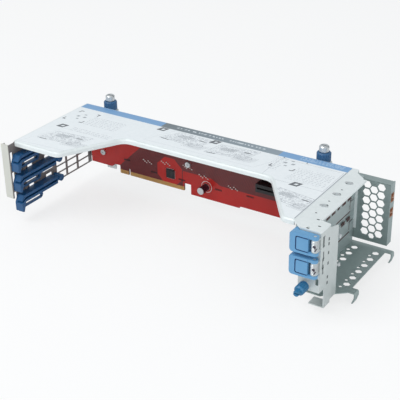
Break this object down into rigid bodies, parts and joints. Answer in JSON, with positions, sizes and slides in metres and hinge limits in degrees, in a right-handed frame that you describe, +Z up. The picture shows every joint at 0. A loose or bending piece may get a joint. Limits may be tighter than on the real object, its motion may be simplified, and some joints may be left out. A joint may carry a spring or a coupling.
{
  "type": "riser cage bracket",
  "caption": "Folded steel server riser cage with a red riser board, blue card guides, slot covers, hinged blue latches, thumbscrews and a honeycomb vent wall.",
  "frame": {"origin": "middle of the plug's key notch, level with the contacts' lower edge, half way through the riser board", "axes": "+X along the cage to the slot panel, +Y to the rear wall, +Z up to the cover"},
  "size_m": [0.377, 0.1618, 0.101],
  "materials": {
    "cage_steel": "galvanised sheet, satin",
    "wall_steel": "galvanised sheet, matt and darker",
    "cover_steel": "bright stamped sheet",
    "label_film": "printed film",
    "guide_plastic": "deep blue, satin",
    "latch_plastic": "light blue, satin",
    "knob_plastic": "teal blue, satin",
    "board_red": "red lacquered glass fibre board",
    "contact_gold": "gold plated",
    "connector_black": "moulded",
    "chip_black": "moulded",
    "can_aluminium": "drawn can",
    "sleeve_plastic": "shrunk film",
    "plated_steel": "zinc plated",
    "spring_copper": "copper alloy strip"
  },
  "bodies": {
    "cage": {"top_cover": "cage_steel", "instruction_label": "label_film", "left_end_wall": "wall_steel", "card_guide_top": "guide_plastic", "card_guide_middle": "guide_plastic", "card_guide_bottom": "guide_plastic", "riser_board": "board_red", "edge_contacts": "contact_gold", "slot_connector_long": "connector_black", "slot_connector_short": "connector_black", "controller_chip": "chip_black", "capacitor_can": "can_aluminium", "capacitor_sleeve": "sleeve_plastic", "board_screws": "plated_steel", "board_standoffs": "plated_steel", "slot_panel": "cage_steel", "slot_cover_top": "cover_steel", "slot_cover_middle": "cover_steel", "slot_cover_bottom": "cover_steel", "vent_wall": "cage_steel", "contact_springs": "spring_copper", "floor_plate": "cage_steel", "latch_post": "cage_steel", "cage_rivets": "plated_steel", "latch_pin_upper": "plated_steel", "latch_spring_upper": "plated_steel", "latch_pin_lower": "plated_steel", "latch_spring_lower": "plated_steel", "front_ferrule": "plated_steel", "rear_left_ferrule": "plated_steel", "rear_right_ferrule": "plated_steel"},
    "latch_upper": {"latch_lever_upper": "latch_plastic"},
    "latch_lower": {"latch_lever_lower": "latch_plastic"},
    "front_thumbscrew": {"front_knob": "knob_plastic", "front_screw_shaft": "plated_steel"},
    "rear_left_thumbscrew": {"rear_left_knob": "knob_plastic", "rear_left_screw": "plated_steel"},
    "rear_right_thumbscrew": {"rear_right_knob": "knob_plastic", "rear_right_screw": "plated_steel"}
  },
  "joints": [
    {"name": "latch_upper_hinge", "type": "hinge", "parent": "cage", "child": "latch_upper", "pos_m": [0.2905, -0.1282, 0.0608], "axis": [0, 0, 1], "range_deg": [0, 100]},
    {"name": "latch_lower_hinge", "type": "hinge", "parent": "cage", "child": "latch_lower", "pos_m": [0.2905, -0.1282, 0.0384], "axis": [0, 0, 1], "range_deg": [0, 100]},
    {"name": "front_screw_spin", "type": "hinge", "parent": "cage", "child": "front_thumbscrew", "pos_m": [0.2805, -0.1242, 0.0166], "axis": [0, 1, 0], "continuous": true},
    {"name": "rear_left_screw_spin", "type": "hinge", "parent": "cage", "child": "rear_left_thumbscrew", "pos_m": [-0.0315, 0.0123, 0.066], "axis": [0, 0, 1], "continuous": true},
    {"name": "rear_right_screw_spin", "type": "hinge", "parent": "cage", "child": "rear_right_thumbscrew", "pos_m": [0.228, 0.0123, 0.066], "axis": [0, 0, 1], "continuous": true}
  ]
}
